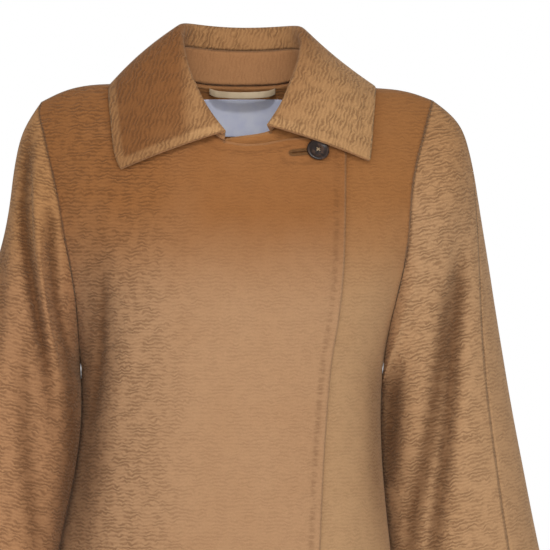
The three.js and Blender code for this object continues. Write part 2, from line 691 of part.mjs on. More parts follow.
/**
 * The visible face of the collar, in rows: the top of the stand, round the roll from its
 * neck side to where the leaf leaves it, and down the leaf to the free edge.
 */
function collarPoints(seam) {
  const lines = collarLines(seam.length - 1);
  const profiles = lines.map(({ crest, along, edge, bulge }, j) => {
    const up = crest.clone().sub(seam[j]);
    up.addScaledVector(along, -up.dot(along)).normalize();
    const out = along.clone().cross(up).normalize();
    if (out.dot(edge.clone().sub(crest)) < 0) out.negate();
    const centre = crest.clone().addScaledVector(up, -ROLL_RADIUS);
    const onRoll = (angle) => centre.clone()
      .addScaledVector(up, ROLL_RADIUS * Math.cos(angle))
      .addScaledVector(out, ROLL_RADIUS * Math.sin(angle));
    const reach = edge.clone().sub(centre);
    const [sideways, height] = [reach.dot(out), reach.dot(up)];
    const leaves = Math.atan2(sideways, height) - Math.acos(ROLL_RADIUS / Math.hypot(sideways, height));
    const roll = steps(ROLL_STEPS).map((t) => onRoll(lerp(-Math.PI / 2, leaves, t)));
    const rise = up.clone().multiplyScalar(Math.cos(leaves)).addScaledVector(out, Math.sin(leaves));
    const leaf = steps(LEAF_STEPS).slice(1).map((t) => (
      roll.at(-1).clone().lerp(edge, t).addScaledVector(rise, bulge * 4 * t * (1 - t))));
    return [seam[j].clone().lerp(roll[0], STAND_SHARE), ...roll, ...leaf];
  });
  return profiles[0].map((_, i) => profiles.map((profile) => profile[i]));
}

/** The stand: its neck side from the collar down to the neck seam, seated on the body. */
function standGeometry(neck, collarPatch) {
  const top = collarPatch.points[0];
  const topNormals = collarPatch.normals[0];
  const down = (j) => neck[j].point.clone().sub(top[j]).normalize();
  const foot = ({ point, out }) => point.clone().addScaledVector(out, STAND_SEAT);
  const near = top.map((p, j) => p.clone().addScaledVector(down(j), SEAM_GAP));
  const far = near.map((p, j) => p.clone().addScaledVector(topNormals[j], -CLOTH));
  const feet = neck.map(foot);
  const heels = neck.map((n) => (
    foot(n).addScaledVector(n.away, CLOTH * 0.3).addScaledVector(n.out, HEEL_RISE)));
  const halfway = (a, b) => a.map((p, j) => p.clone().lerp(b[j], 0.5));
  return wallGeometry([near, halfway(near, feet), feet], [far, halfway(far, heels), heels]);
}

// ---- small pieces -------------------------------------------------------------------

/** A strip of the back's inner face, as a grid of points moved clear of the cloth. */
function insideBack(xs, zs, clear) {
  return zs.map((z) => xs.map((x) => (
    bodyAt(x, z, 1).addScaledVector(bodyNormal(x, z, 1), -CLOTH - clear))));
}

function labelGeometry() {
  const thickness = 0.8;
  const xs = steps(8).map((t) => lerp(-45, 45, t));
  const zs = steps(4).map((t) => lerp(-25, -68, t));
  return wallGeometry(insideBack(xs, zs, 0.9 + thickness), insideBack(xs, zs, 0.9));
}

function loopGeometry() {
  const [half, top, drop, standOff, thickness, height, rootClear] = [37, -15, 5, 9, 1.6, 8, 5.4];
  const grid = (depth) => [0, 1].map((low) => steps(14).map((t) => {
    const x = lerp(-half, half, t);
    const sag = Math.sin(Math.PI * t) ** 0.4;
    const root = bodyAt(x, top, 1).y - rootClear - thickness;
    return V(x, root - standOff * sag + depth, top - drop * sag - low * height);
  }));
  return wallGeometry(grid(0), grid(thickness));
}

/** Wasm solids: three.js meshes in, a three.js mesh out. */
const wasm = await Module();
wasm.setup();

function solidOf(geometry) {
  const bare = geometry.clone();
  bare.deleteAttribute('normal');
  bare.deleteAttribute('uv');
  const merged = mergeVertices(bare, 1e-4);
  return new wasm.Manifold(new wasm.Mesh({
    numProp: 3,
    vertProperties: new Float32Array(merged.getAttribute('position').array),
    triVerts: new Uint32Array(merged.getIndex().array),
  }));
}

function geometryOf(solid) {
  const mesh = solid.getMesh();
  const geometry = new THREE.BufferGeometry();
  geometry.setAttribute('position', new THREE.Float32BufferAttribute(mesh.vertProperties, 3));
  geometry.setIndex(Array.from(mesh.triVerts));
  geometry.computeVertexNormals();
  return geometry;
}

/**
 * Turns a geometry made along +Y so that it looks out of the chest at the button, with
 * its own X level across the chest and its own Z down the cloth.
 */
function placedAtButton(geometry) {
  const out = bodyNormal(BUTTON_AT.x, BUTTON_AT.z, -1);
  const across = V(1, 0, 0).addScaledVector(out, -out.x).normalize();
  const down = across.clone().cross(out);
  const at = bodyAt(BUTTON_AT.x, BUTTON_AT.z, -1);
  return geometry.applyMatrix4(new THREE.Matrix4().makeBasis(across, out, down).setPosition(at));
}

function buttonGeometry() {
  const r = BUTTON_RADIUS;
  const base = OVERLAP_LIFT + 0.9;
  const face = base + BUTTON_THICKNESS;
  const profile = [
    [0, SEAM_GAP], [SHANK_RADIUS, SEAM_GAP], [SHANK_RADIUS, base], [r * 0.78, base],
    [r * 0.95, base + 0.8], [r, base + 2.2], [r * 0.93, face], [r * 0.8, face],
    [r * 0.66, face - 1.1], [0, face - 1.5],
  ].map(([x, y]) => new THREE.Vector2(x, y));
  const lathe = new THREE.LatheGeometry(profile, 28);
  lathe.deleteAttribute('normal');
  lathe.deleteAttribute('uv');
  return facingOut(placedAtButton(mergeVertices(lathe, 1e-4)));
}

/** The buttonhole: a slot with round ends, cut through the upper front. */
function buttonholeCut() {
  const { length, width, left } = BUTTONHOLE;
  const r = width / 2;
  const from = left - BUTTON_AT.x + r;
  const to = from + length - width;
  const outline = new THREE.Shape();
  outline.absarc(from, 0, r, Math.PI / 2, Math.PI * 1.5, false);
  outline.absarc(to, 0, r, -Math.PI / 2, Math.PI / 2, false);
  outline.closePath();
  const slot = new THREE.ExtrudeGeometry(outline, { depth: 40, bevelEnabled: false, curveSegments: 5 });
  return slot.rotateX(Math.PI / 2).translate(0, 20, 0).rotateY(radians(BUTTONHOLE.slant));
}

// ---- the coat -----------------------------------------------------------------------

const CAMEL = { color: 0xb0895f, roughness: 0.95, metalness: 0 };
const FINISHES = {
  coat: new THREE.MeshStandardMaterial(CAMEL),
  collar: new THREE.MeshStandardMaterial({ ...CAMEL, color: 0xa47c52 }),
  tape: new THREE.MeshStandardMaterial({ color: 0xb19e85, roughness: 0.8, metalness: 0 }),
  satin: new THREE.MeshStandardMaterial({ color: 0xc0c6e2, roughness: 0.5, metalness: 0 }),
  button: new THREE.MeshStandardMaterial({ color: 0x33292a, roughness: 0.35, metalness: 0 }),
};

const right = frontPoints(-1);
const left = frontPoints(1);
const back = backPoints();
const columnOf = (grid, j, rows) => grid.slice(0, rows + 1).map((row) => row.at(j));
const rightFrontHole = columnOf(right, -1, ARMHOLE_FRONT_ROWS);
const leftFrontHole = columnOf(left, -1, ARMHOLE_FRONT_ROWS);
const rightBackHole = columnOf(back, 0, ARMHOLE_BACK_ROWS);
const leftBackHole = columnOf(back, -1, ARMHOLE_BACK_ROWS);

const neck = neckSeam(right, back, left);
const collar = collarPoints(neck.map(({ point }) => point));

const ALL = () => true;
const fromCollarEnd = (j) => j >= FLAT_COLUMNS;
const SEWN = { first: true, last: true, top: ALL };
const makeSleeve = (name, side, facing, armhole) => (
  makePatch(name, sleevePoints(side, facing, armhole), -facing * side, SEWN));
const patches = [
  makePatch('right_front', right, 1, { last: true, top: fromCollarEnd }),
  makePatch('left_front', left, -1, { last: true, top: fromCollarEnd }),
  makePatch('back', back, 1, SEWN),
  makeSleeve('right_sleeve_front', -1, -1, rightFrontHole),
  makeSleeve('right_sleeve_back', -1, 1, rightBackHole),
  makeSleeve('left_sleeve_front', 1, -1, leftFrontHole),
  makeSleeve('left_sleeve_back', 1, 1, leftBackHole),
];
const collarPatch = makePatch('upper_collar', collar, 1, { top: ALL }, COLLAR_CLOTH);
weldNormals(patches);

const coat = new THREE.Group();
coat.name = 'wrap_coat';
function add(name, geometry, material) {
  const mesh = new THREE.Mesh(geometry, material);
  mesh.name = name;
  coat.add(mesh);
}

for (const patch of patches) {
  let geometry = patchGeometry(patch);
  if (patch.name === 'right_front') {
    geometry = geometryOf(solidOf(geometry).subtract(solidOf(placedAtButton(buttonholeCut()))));
  }
  add(patch.name, geometry, FINISHES.coat);
}
add('collar_stand', standGeometry(neck, collarPatch), FINISHES.collar);
add('upper_collar', patchGeometry(collarPatch), FINISHES.collar);
add('under_collar', patchGeometry(collarPatch, COLLAR_CLOTH + SEAM_GAP), FINISHES.collar);
add('hanger_loop', loopGeometry(), FINISHES.tape);
add('neck_label', labelGeometry(), FINISHES.satin);
add('button', buttonGeometry(), FINISHES.button);

export default coat;
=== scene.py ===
"""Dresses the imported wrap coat: brushed camel wool, seams, buttonhole, button, label and loop.

Everything is in metres in the coat's own frame: the front faces -Y, +X is the wearer's
left, and the origin lies between the ends of the shoulder seams at the neck.
"""

import logging
import math
from dataclasses import dataclass, field
from enum import Enum

import bmesh
import bpy
import numpy as np
from mathutils import Matrix, Vector
from mathutils.kdtree import KDTree


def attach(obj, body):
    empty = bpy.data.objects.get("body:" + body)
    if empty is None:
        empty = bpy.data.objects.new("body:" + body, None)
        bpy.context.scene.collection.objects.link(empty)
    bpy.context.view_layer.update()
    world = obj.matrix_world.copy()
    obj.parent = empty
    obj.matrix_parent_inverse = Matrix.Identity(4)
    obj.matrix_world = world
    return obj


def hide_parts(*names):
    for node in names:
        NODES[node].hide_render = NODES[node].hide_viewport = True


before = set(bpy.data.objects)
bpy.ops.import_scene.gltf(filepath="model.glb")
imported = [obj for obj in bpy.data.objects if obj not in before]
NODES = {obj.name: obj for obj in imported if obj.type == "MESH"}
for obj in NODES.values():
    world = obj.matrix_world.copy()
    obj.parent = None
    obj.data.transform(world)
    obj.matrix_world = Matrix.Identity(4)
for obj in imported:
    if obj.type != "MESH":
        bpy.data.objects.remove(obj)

logging.basicConfig(level=logging.INFO, format="%(message)s")
log = logging.getLogger("coat")

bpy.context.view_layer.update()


class Slot(Enum):
    """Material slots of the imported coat."""

    COAT = "coat_cloth"
    COLLAR = "collar_cloth"
    TAPE = "loop_tape"
    SATIN = "label_satin"
    BUTTON = "button_horn"


class Ply(Enum):
    """How many rounds of subdivision a piece gets."""

    FINE = 2
    FINEST = 3


def dye(red: int, green: int, blue: int) -> tuple[float, float, float, float]:
    """Turns a colour named in 0 to 255 steps into the shader's linear colour.

    Args:
        red: Red step.
        green: Green step.
        blue: Blue step.

    Returns:
        Linear red, green, blue and an alpha of 1.
    """

    def linear(step: int) -> float:
        """Undoes the display curve for one channel."""
        c = step / 255
        return c / 12.92 if c <= 0.04045 else ((c + 0.055) / 1.055) ** 2.4

    return linear(red), linear(green), linear(blue), 1.0


# ---- shader building ----------------------------------------------------------------


class Weaver:
    """Small helper that adds and joins the nodes of one tree."""

    def __init__(self, tree: bpy.types.NodeTree) -> None:
        """Starts with an existing tree."""
        self.tree = tree

    def node(self, kind: str, **settings: object) -> bpy.types.Node:
        """Adds a node.

        Args:
            kind: The node's type name.
            **settings: Its properties.

        Returns:
            The new node.
        """
        made = self.tree.nodes.new(kind)
        for name, value in settings.items():
            setattr(made, name, value)
        return made

    def feed(self, socket: bpy.types.NodeSocket, value: object) -> None:
        """Links an output to a socket, or sets the socket's own value."""
        if isinstance(value, bpy.types.NodeSocket):
            self.tree.links.new(value, socket)
        else:
            socket.default_value = value

    def sum_of(self, operation: str, *values: object, clamp: bool = False) -> bpy.types.NodeSocket:
        """One Math node.

        Args:
            operation: The node's operation.
            *values: Its inputs, outputs of other nodes or numbers.
            clamp: Whether the result stays from 0 to 1.

        Returns:
            The result.
        """
        made = self.node("ShaderNodeMath", operation=operation, use_clamp=clamp)
        for i, value in enumerate(values):
            self.feed(made.inputs[i], value)
        return made.outputs[0]

    def ramp(self, value: object, low: float, high: float, start: float = 0.0,
             end: float = 1.0) -> bpy.types.NodeSocket:
        """A smooth step of a value.

        Args:
            value: The value.
            low: Where the step starts.
            high: Where it ends.
            start: The result below low.
            end: The result above high.

        Returns:
            The result.
        """
        made = self.node("ShaderNodeMapRange", interpolation_type="SMOOTHSTEP")
        for i, item in enumerate((value, low, high, start, end)):
            self.feed(made.inputs[i], item)
        return made.outputs[0]

    def blend(self, share: object, first: object, second: object) -> bpy.types.NodeSocket:
        """Mixes two colours.

        Args:
            share: How much of the second.
            first: The first colour.
            second: The second colour.

        Returns:
            The mixed colour.
        """
        made = self.node("ShaderNodeMix", data_type="RGBA")
        self.feed(made.inputs[0], share)
        self.feed(made.inputs[6], first)
        self.feed(made.inputs[7], second)
        return made.outputs[2]

    def place(self, group: bpy.types.NodeTree, **inputs: object) -> bpy.types.Node:
        """Places a node group.

        Args:
            group: The group.
            **inputs: Values by socket name, with _ for a space.

        Returns:
            The group's node.
        """
        made = self.node("ShaderNodeGroup", node_tree=group)
        for name, value in inputs.items():
            self.feed(made.inputs[name.replace("_", " ")], value)
        return made


def new_group(name: str, inputs: dict[str, tuple[str, object]],
              outputs: dict[str, str]) -> tuple[Weaver, bpy.types.Node, bpy.types.Node]:
    """Makes an empty shader node group with named sockets.

    Args:
        name: The group's name.
        inputs: Socket kind and default by name.
        outputs: Socket kind by name.

    Returns:
        A weaver for the group, its input node and its output node.
    """
    tree = bpy.data.node_groups.new(name, "ShaderNodeTree")
    for label, (kind, default) in inputs.items():
        socket = tree.interface.new_socket(name=label, in_out="INPUT", socket_type=kind)
        if default is not None:
            socket.default_value = default
    for label, kind in outputs.items():
        tree.interface.new_socket(name=label, in_out="OUTPUT", socket_type=kind)
    weaver = Weaver(tree)
    return weaver, weaver.node("NodeGroupInput"), weaver.node("NodeGroupOutput")


FLOAT = "NodeSocketFloat"
VECTOR = "NodeSocketVector"


def make_nap_group() -> bpy.types.NodeTree:
    """The rippled nap: rows of wavy crests across the brushing, over a fine fuzz. Its Valley
    output marks the hollows between the crests, for painted shade.

    Returns:
        A group with Height, Valley and Fuzz outputs.
    """
    w, given, out = new_group(
        "Rippled nap",
        {"Vector": (VECTOR, None), "Turn": (FLOAT, 0.0), "Pitch": (FLOAT, 0.0045),
         "Amount": (FLOAT, 1.0)},
        {"Height": FLOAT, "Valley": FLOAT, "Fuzz": FLOAT},
    )
    turned = w.node("ShaderNodeVectorRotate", rotation_type="Y_AXIS")
    w.feed(turned.inputs["Vector"], given.outputs["Vector"])
    w.feed(turned.inputs["Angle"], given.outputs["Turn"])
    crests = w.node("ShaderNodeTexWave", wave_type="BANDS", bands_direction="Z")
    w.feed(crests.inputs["Vector"], turned.outputs[0])
    w.feed(crests.inputs["Scale"], w.sum_of("DIVIDE", 0.314, given.outputs["Pitch"]))
    w.feed(crests.inputs["Distortion"], 7.5)
    w.feed(crests.inputs["Detail"], 2.0)
    w.feed(crests.inputs["Detail Scale"], 1.5)
    w.feed(crests.inputs["Detail Roughness"], 0.55)
    patches = w.node("ShaderNodeTexNoise")
    w.feed(patches.inputs["Vector"], given.outputs["Vector"])
    w.feed(patches.inputs["Scale"], 85.0)
    w.feed(patches.inputs["Detail"], 2.0)
    fuzz = w.node("ShaderNodeTexNoise")
    w.feed(fuzz.inputs["Vector"], given.outputs["Vector"])
    w.feed(fuzz.inputs["Scale"], 620.0)
    w.feed(fuzz.inputs["Detail"], 4.0)
    w.feed(fuzz.inputs["Roughness"], 0.6)
    broken = w.ramp(patches.outputs["Fac"], 0.36, 0.6, 0.35, 1.0)
    amount = w.sum_of("MULTIPLY", broken, given.outputs["Amount"])
    rippled = w.sum_of("MULTIPLY", crests.outputs["Fac"], amount)
    rough = w.sum_of("MULTIPLY", fuzz.outputs["Fac"], 0.5)
    w.feed(out.inputs["Height"], w.sum_of("ADD", rippled, rough))
    hollow = w.sum_of("SUBTRACT", 1.0, crests.outputs["Fac"])
    w.feed(out.inputs["Valley"], w.sum_of("MULTIPLY", hollow, amount, clamp=True))
    w.feed(out.inputs["Fuzz"], w.ramp(fuzz.outputs["Fac"], 0.35, 0.65))
    return w.tree


def make_edge_group() -> bpy.types.NodeTree:
    """Sewn edges: a furrow at seams, and a turned band with a pressed line at free edges.

    Returns:
        A group with Height and Shade outputs; Shade is painted shade along the seam furrows and
        the pressed line.
    """
    w, given, out = new_group(
        "Sewn edges",
        {"Vector": (VECTOR, None), "Free Edge": (FLOAT, 1.0), "Seam": (FLOAT, 1.0),
         "Band": (FLOAT, 0.01), "Width": (FLOAT, 0.005), "Strength": (FLOAT, 1.0)},
        {"Height": FLOAT, "Shade": FLOAT},
    )
    furrow = w.ramp(given.outputs["Seam"], 0.0, 0.0028, 1.0, 0.0)
    off_line = w.sum_of("ABSOLUTE", w.sum_of("SUBTRACT", given.outputs["Free Edge"],
                                             given.outputs["Band"]))
    groove = w.ramp(off_line, 0.0006, given.outputs["Width"], 1.0, 0.0)
    across = w.node("ShaderNodeVectorMath", operation="MULTIPLY")
    w.feed(across.inputs[0], given.outputs["Vector"])
    w.feed(across.inputs[1], (90.0, 90.0, 340.0))
    dashes = w.node("ShaderNodeTexNoise")
    w.feed(dashes.inputs["Vector"], across.outputs[0])
    w.feed(dashes.inputs["Scale"], 1.0)
    w.feed(dashes.inputs["Detail"], 2.0)
    broken = w.ramp(dashes.outputs["Fac"], 0.4, 0.6, 0.1, 1.0)
    pressed = w.sum_of("MULTIPLY", w.sum_of("MULTIPLY", groove, broken), given.outputs["Strength"])
    rim = w.ramp(given.outputs["Free Edge"], 0.0, 0.003, 1.0, 0.0)
    sunk = w.sum_of("ADD", w.sum_of("ADD", furrow, w.sum_of("MULTIPLY", pressed, 0.7)),
                    w.sum_of("MULTIPLY", rim, 0.5))
    w.feed(out.inputs["Height"], w.sum_of("SUBTRACT", 0.0, sunk))
    w.feed(out.inputs["Shade"],
           w.sum_of("ADD", w.sum_of("MULTIPLY", furrow, 0.65), pressed, clamp=True))
    return w.tree


def make_painted_light_ramp() -> bpy.types.NodeTree:
    """Painted light and shade: the lit share is 0 at the yoke (painted shade) and rises to 1 lower
    down (painted light), sloped across by Lean, with random patches.

    Returns:
        A group with a Lit output, from 0 to 1.
    """
    w, given, out = new_group(
        "Painted light ramp",
        {"Vector": (VECTOR, None), "Lean": (FLOAT, 0.0), "Start": (FLOAT, 0.13),
         "Reach": (FLOAT, 0.15)},
        {"Lit": FLOAT},
    )
    split = w.node("ShaderNodeSeparateXYZ")
    w.feed(split.inputs[0], given.outputs["Vector"])
    leaning = w.sum_of("MULTIPLY", split.outputs["X"], given.outputs["Lean"])
    fall = w.sum_of("SUBTRACT", leaning, split.outputs["Z"])
    from_start = w.sum_of("SUBTRACT", fall, given.outputs["Start"])
    share = w.ramp(w.sum_of("DIVIDE", from_start, given.outputs["Reach"]), 0.0, 1.0)
    patches = w.node("ShaderNodeTexNoise")
    w.feed(patches.inputs["Vector"], given.outputs["Vector"])
    w.feed(patches.inputs["Scale"], 14.0)
    w.feed(patches.inputs["Detail"], 2.0)
    uneven = w.sum_of("MULTIPLY", w.sum_of("SUBTRACT", patches.outputs["Fac"], 0.5), 0.35)
    w.feed(out.inputs["Lit"], w.sum_of("ADD", share, uneven, clamp=True))
    return w.tree


NAP = make_nap_group()
EDGES = make_edge_group()
PAINTED_LIGHT_RAMP = make_painted_light_ramp()


@dataclass(frozen=True)
class WoolFinish:
    """Brushed wool with a rippled nap."""

    name: str
    shaded: tuple[float, float, float, float]
    lit: tuple[float, float, float, float]
    # The dark brown that the fine fuzz mixes in, and that the painted shade in folds, nap hollows,
    # seam furrows and pressed lines darkens towards.
    deep: tuple[float, float, float, float] = dye(88, 52, 26)
    turn: float = 0.0
    pitch: float = 0.0042
    quiet_at: float = 0.035
    quiet_width: float = 0.17
    quiet_share: float = 0.3
    # lean, start and reach shape the painted light and shade from yoke to skirt
    lean: float = 0.0
    start: float = 0.13
    reach: float = 0.15
    neck_light: float = 0.0
    band: float = 0.0105
    band_width: float = 0.0055
    line: float = 0.5
    edge_light: float = 0.25
    edge_width: float = 0.003
    contrast: float = 0.5
    fold_shade: float = 0.7

    def tone(self, w: Weaver, place: bpy.types.NodeSocket, free: bpy.types.NodeSocket,
             across: bpy.types.NodeSocket) -> bpy.types.NodeSocket:
        """The cloth's colour before ripples and folds: painted light and shade, from the shaded
        colour at the yoke to the lit colour lower down.

        Args:
            w: The material's weaver.
            place: Position on the cloth.
            free: Distance to the free edge.
            across: Distance from the centre, either way.

        Returns:
            The colour.
        """
        # Painted light and shade: blends the shaded colour to the lit colour by height.
        painted_ramp = w.place(PAINTED_LIGHT_RAMP, Vector=place, Lean=self.lean, Start=self.start, Reach=self.reach)
        share = painted_ramp.outputs["Lit"]
        # Painted light near the middle of the neck: at least neck_light of the lit colour there.
        if self.neck_light:
            near = w.ramp(across, 0.05, 0.074, self.neck_light, 0.0)
            share = w.sum_of("MAXIMUM", share, near)
        # Painted highlight: the edge_light share of the lit colour is added along the free edges.
        turned = w.ramp(free, self.edge_width * 0.6, self.edge_width, self.edge_light, 0.0)
        share = w.sum_of("ADD", share, turned, clamp=True)
        return w.blend(share, self.shaded, self.lit)

    def build(self) -> bpy.types.Material:
        """Makes the material.

        Returns:
            The material.
        """
        material = bpy.data.materials.new(self.name)
        material.use_nodes = True
        w = Weaver(material.node_tree)
        shader = material.node_tree.nodes["Principled BSDF"]
        place = w.node("ShaderNodeTexCoord").outputs["Object"]
        split = w.node("ShaderNodeSeparateXYZ")
        w.feed(split.inputs[0], place)
        free = w.node("ShaderNodeAttribute", attribute_name="free_edge").outputs["Fac"]
        seam = w.node("ShaderNodeAttribute", attribute_name="seam").outputs["Fac"]
        hollow = w.node("ShaderNodeAttribute", attribute_name="hollow").outputs["Fac"]
        aside = w.sum_of("ABSOLUTE", w.sum_of("SUBTRACT", split.outputs["X"], self.quiet_at))
        amount = w.ramp(aside, self.quiet_width * 0.4, self.quiet_width, self.quiet_share, 1.0)
        amount = w.sum_of("ADD", amount, w.sum_of("MULTIPLY", hollow, 0.6))
        nap = w.place(NAP, Vector=place, Turn=self.turn, Pitch=self.pitch, Amount=amount)
        edges = w.place(EDGES, Vector=place, Free_Edge=free, Seam=seam, Band=self.band,
                        Width=self.band_width, Strength=self.line)
        across = w.sum_of("ABSOLUTE", split.outputs["X"])
        cloth = self.tone(w, place, free, across)
        cloth = w.blend(w.sum_of("MULTIPLY", nap.outputs["Fuzz"], 0.1), cloth, self.deep)
        # Painted shade in the hollows between the nap's crests.
        valley_shade = w.sum_of("MULTIPLY", nap.outputs["Valley"], self.contrast)
        cloth = w.blend(valley_shade, cloth, self.deep)
        # Painted shade in the crease hollows.
        cloth = w.blend(w.sum_of("MULTIPLY", hollow, self.fold_shade), cloth, self.deep)
        # Painted shade along the seam furrows and the pressed line by the free edges.
        cloth = w.blend(w.sum_of("MULTIPLY", edges.outputs["Shade"], 0.5), cloth, self.deep)
        w.feed(shader.inputs["Base Color"], cloth)
        shader.inputs["Roughness"].default_value = 0.88
        shader.inputs["Specular IOR Level"].default_value = 0.2
        shader.inputs["Sheen Weight"].default_value = 0.22
        shader.inputs["Sheen Roughness"].default_value = 0.45
        shader.inputs["Sheen Tint"].default_value = (0.85, 0.62, 0.42, 1.0)
        relief = w.sum_of("ADD", w.sum_of("MULTIPLY", nap.outputs["Height"], 0.8),
                          w.sum_of("MULTIPLY", edges.outputs["Height"], 1.2))
        bump = w.node("ShaderNodeBump")
        w.feed(bump.inputs["Strength"], 0.9)
        w.feed(bump.inputs["Distance"], 0.0011)
        w.feed(bump.inputs["Height"], relief)
        w.feed(shader.inputs["Normal"], bump.outputs[0])
        return material


@dataclass(frozen=True)
class WovenFinish:
    """Tape or satin: a fine weave of ribs one way and faint threads the other."""

    name: str
    base: tuple[float, float, float, float]
    deep: tuple[float, float, float, float]
    rough: float
    rib: float = 0.0009
    depth: float = 0.00015
    sheen: float = 0.1

    def build(self) -> bpy.types.Material:
        """Makes the material.

        Returns:
            The material.
        """
        material = bpy.data.materials.new(self.name)
        material.use_nodes = True
        w = Weaver(material.node_tree)
        shader = material.node_tree.nodes["Principled BSDF"]
        place = w.node("ShaderNodeTexCoord").outputs["Object"]
        ribs = w.node("ShaderNodeTexWave", wave_type="BANDS", bands_direction="X")
        w.feed(ribs.inputs["Vector"], place)
        w.feed(ribs.inputs["Scale"], 0.314 / self.rib)
        w.feed(ribs.inputs["Distortion"], 0.4)
        blotches = w.node("ShaderNodeTexNoise")
        w.feed(blotches.inputs["Vector"], place)
        w.feed(blotches.inputs["Scale"], 60.0)
        # Darker towards the deep colour in soft noise blotches.
        tone = w.blend(w.ramp(blotches.outputs["Fac"], 0.3, 0.7, 0.0, 0.5), self.base, self.deep)
        tone = w.blend(w.sum_of("MULTIPLY", ribs.outputs["Fac"], 0.2), tone, self.deep)
        w.feed(shader.inputs["Base Color"], tone)
        shader.inputs["Roughness"].default_value = self.rough
        shader.inputs["Sheen Weight"].default_value = self.sheen
        bump = w.node("ShaderNodeBump")
        w.feed(bump.inputs["Strength"], 0.6)
        w.feed(bump.inputs["Distance"], self.depth)
        w.feed(bump.inputs["Height"], ribs.outputs["Fac"])
        w.feed(shader.inputs["Normal"], bump.outputs[0])
        return material


@dataclass(frozen=True)
class HornFinish:
    """Polished dark horn with soft brown clouds."""

    name: str = "Dark horn"
    dark: tuple[float, float, float, float] = field(default=dye(38, 30, 28))
    cloud: tuple[float, float, float, float] = field(default=dye(84, 62, 50))

    def build(self) -> bpy.types.Material:
        """Makes the material.

        Returns:
            The material.
        """
        material = bpy.data.materials.new(self.name)
        material.use_nodes = True
        w = Weaver(material.node_tree)
        shader = material.node_tree.nodes["Principled BSDF"]
        clouds = w.node("ShaderNodeTexNoise")
        w.feed(clouds.inputs["Vector"], w.node("ShaderNodeTexCoord").outputs["Object"])
        w.feed(clouds.inputs["Scale"], 120.0)
        w.feed(clouds.inputs["Distortion"], 1.2)
        tone = w.blend(w.ramp(clouds.outputs["Fac"], 0.42, 0.75), self.dark, self.cloud)
        w.feed(shader.inputs["Base Color"], tone)
        shader.inputs["Roughness"].default_value = 0.32
        shader.inputs["Specular IOR Level"].default_value = 0.5
        return material


@dataclass(frozen=True)
class ThreadFinish:
    """Sewing thread with its twist."""

    name: str
    base: tuple[float, float, float, float]

    def build(self) -> bpy.types.Material:
        """Makes the material.

        Returns:
            The material.
        """
        material = bpy.data.materials.new(self.name)
        material.use_nodes = True
        w = Weaver(material.node_tree)
        shader = material.node_tree.nodes["Principled BSDF"]
        twist = w.node("ShaderNodeTexNoise")
        w.feed(twist.inputs["Vector"], w.node("ShaderNodeTexCoord").outputs["Object"])
        w.feed(twist.inputs["Scale"], 1800.0)
        darker = tuple(c * 0.6 for c in self.base[:3]) + (1.0,)
        w.feed(shader.inputs["Base Color"], w.blend(twist.outputs["Fac"], self.base, darker))
        shader.inputs["Roughness"].default_value = 0.6
        return material


# ---- cloth pieces -------------------------------------------------------------------


@dataclass(frozen=True)
class Crease:
    """A fold line down the cloth, seen from the front."""

    rows: tuple[tuple[float, float, float], ...]
    width: float
    ruffle: float = 0.0
    pitch: float = 0.009

    def sink(self, points: np.ndarray) -> np.ndarray:
        """How far the crease pushes each point towards the back.

        Args:
            points: Places of the points, one to a row.

        Returns:
            A depth for each point, in metres.
        """
        z, x, depth = (np.array(column) for column in zip(*sorted(self.rows)))
        at = points[:, 2]
        line = np.interp(at, z, x)
        line = line + self.ruffle * np.sin(2 * math.pi * at / self.pitch + 9 * np.sin(at * 31))
        strength = np.interp(at, z, depth, left=0.0, right=0.0)
        away = (points[:, 0] - line) / self.width
        return strength * np.exp(-away * away)


